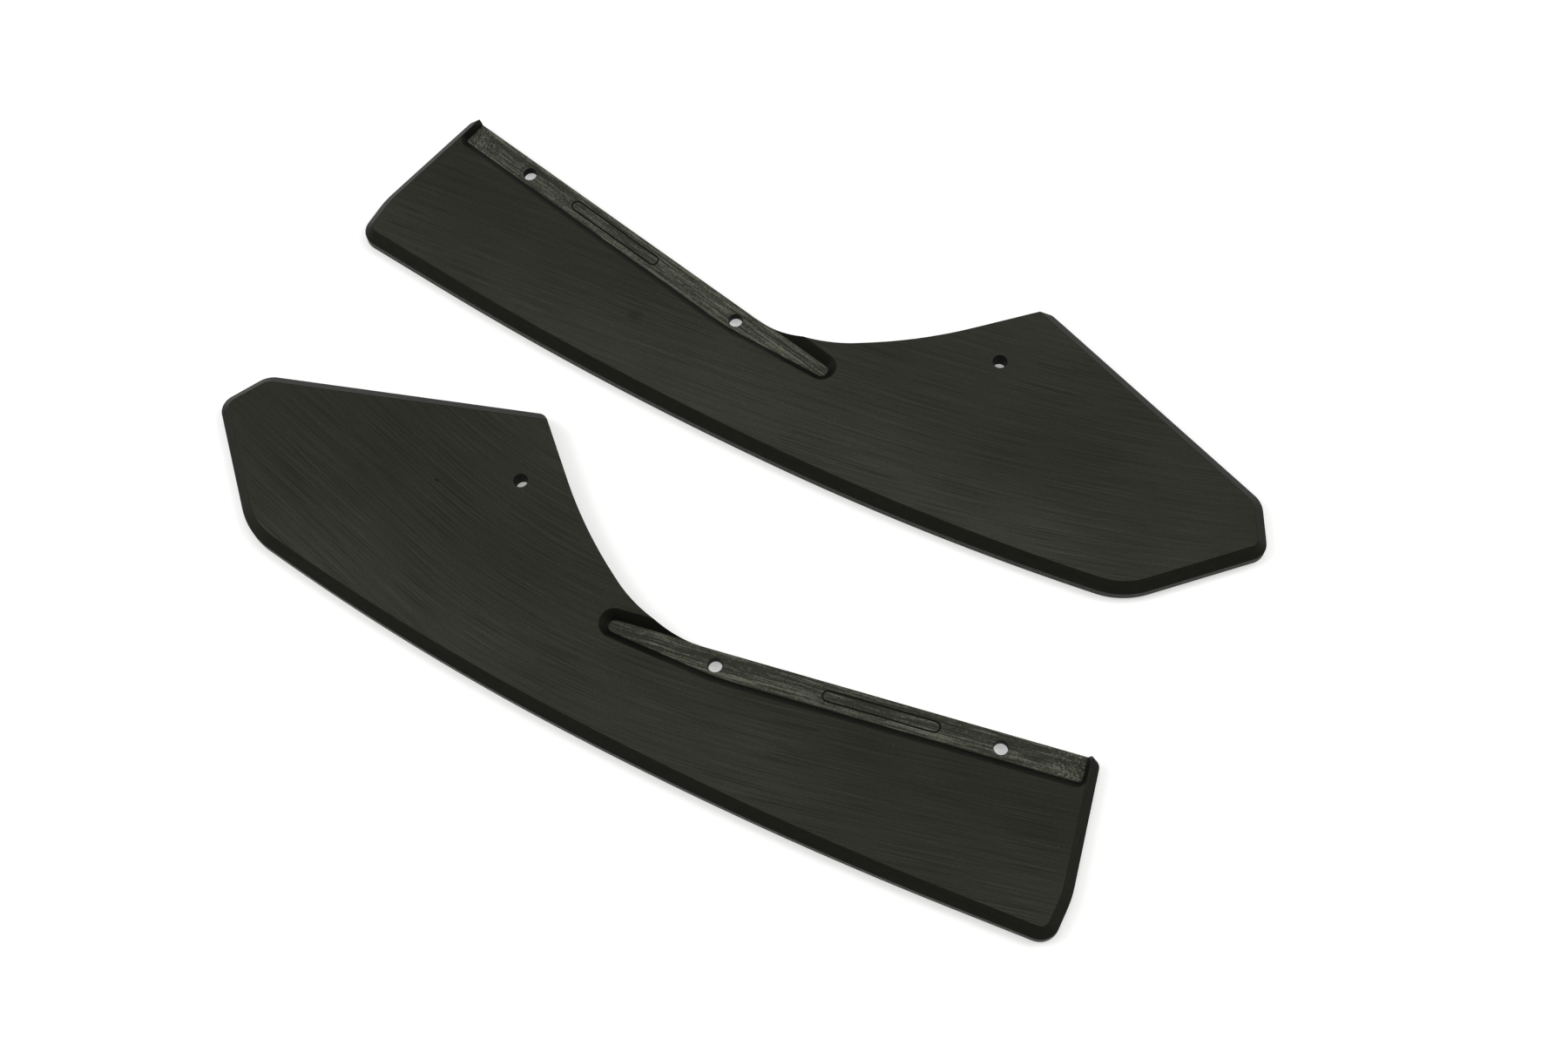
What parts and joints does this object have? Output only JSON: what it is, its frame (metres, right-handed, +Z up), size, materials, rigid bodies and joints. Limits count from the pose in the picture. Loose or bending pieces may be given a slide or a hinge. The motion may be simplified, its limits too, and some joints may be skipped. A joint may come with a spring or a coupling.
{
  "type": "mud flap",
  "caption": "Handed left and right mud flaps: rigid plastic plates with a bevelled rim, a sloped-wall mounting pocket along the straight edge, and screw holes.",
  "frame": {"origin": "centre of the pair's overall box, on the surface that both flaps lie on", "axes": "+Z up, out of the bevelled top faces; +X along the longer side of the pair's layout; +Y from the left flap towards the right flap. The mounting edge of the right flap runs from its narrow end at -43.8 degrees from +X, and that of the left flap at 157.9 degrees"},
  "size_m": [0.5146, 0.4648, 0.01],
  "materials": {
    "flap_plastic": "machined satin black sheet plastic, with fine tool marks; the pocket floor is rougher"
  },
  "bodies": {
    "right_flap": {"right_flap": "flap_plastic"},
    "left_flap": {"left_flap": "flap_plastic"}
  },
  "joints": [
    {"name": "left_flap_lift", "type": "slide", "parent": "right_flap", "child": "left_flap", "axis": [0, 0, 1], "range_m": [0, 0.15]}
  ]
}
